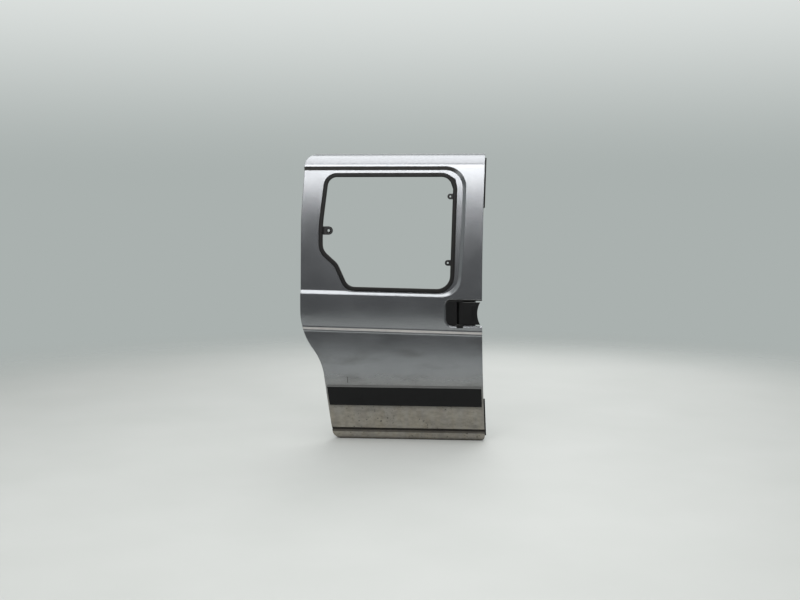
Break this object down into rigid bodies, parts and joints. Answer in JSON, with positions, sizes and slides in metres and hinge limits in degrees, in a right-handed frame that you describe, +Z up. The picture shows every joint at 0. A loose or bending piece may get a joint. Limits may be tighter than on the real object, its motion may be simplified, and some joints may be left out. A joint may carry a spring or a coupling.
{
  "type": "van sliding door",
  "caption": "Silver side door of a small van: pressed skin with an empty sealed window, wheel-arch cut, rub strip, pull handle at the front edge and roller arms behind.",
  "frame": {"origin": "middle of the flat underside of the bottom hem", "axes": "+X towards the front of the van, +Y into the van, +Z up the door"},
  "size_m": [0.84, 0.2832, 1.293],
  "materials": {
    "silver_paint": "metallic silver paint, dirty low down",
    "black_plastic": "black grained plastic",
    "black_rubber": "black rubber",
    "zinc_steel": "zinc-plated steel",
    "black_steel": "black-painted steel",
    "roller_plastic": "off-white nylon"
  },
  "bodies": {
    "door": {"outer_skin": "silver_paint", "inner_panel": "silver_paint", "window_seal": "black_rubber", "rub_strip": "black_plastic", "handle_housing": "black_plastic", "handle_pin": "zinc_steel", "glass_hinge_upper": "black_steel", "glass_hinge_lower": "black_steel", "glass_catch": "black_steel", "waist_rail": "silver_paint", "crash_beam": "silver_paint", "beam_bracket_rear": "silver_paint", "beam_bracket_front": "silver_paint", "lower_arm_bracket": "zinc_steel", "lower_arm": "zinc_steel", "lower_guide_roller": "roller_plastic", "lower_load_roller": "roller_plastic", "upper_arm_bracket": "zinc_steel", "upper_arm": "zinc_steel", "upper_guide_roller": "roller_plastic", "centre_arm_bracket": "zinc_steel", "centre_arm": "zinc_steel", "centre_guide_roller": "roller_plastic", "centre_load_roller": "roller_plastic", "front_lock": "zinc_steel", "rear_lock": "zinc_steel", "locating_cone_lower": "black_plastic", "locating_cone_upper": "black_plastic", "rear_stop_lower": "black_rubber", "rear_stop_upper": "black_rubber", "release_unit": "zinc_steel", "lock_rod_front": "zinc_steel", "lock_rod_rear": "zinc_steel", "front_edge_seal_upper": "black_rubber", "front_edge_seal_lower": "black_rubber"},
    "handle": {"handle_flap": "black_plastic"}
  },
  "joints": [
    {"name": "handle_pull", "type": "hinge", "parent": "door", "child": "handle", "pos_m": [0.231, -0.049, 0.582], "axis": [0, 0, -1], "range_deg": [0, 35], "stiffness_Nm_per_rad": 0.6, "springref_deg": -11.46}
  ]
}
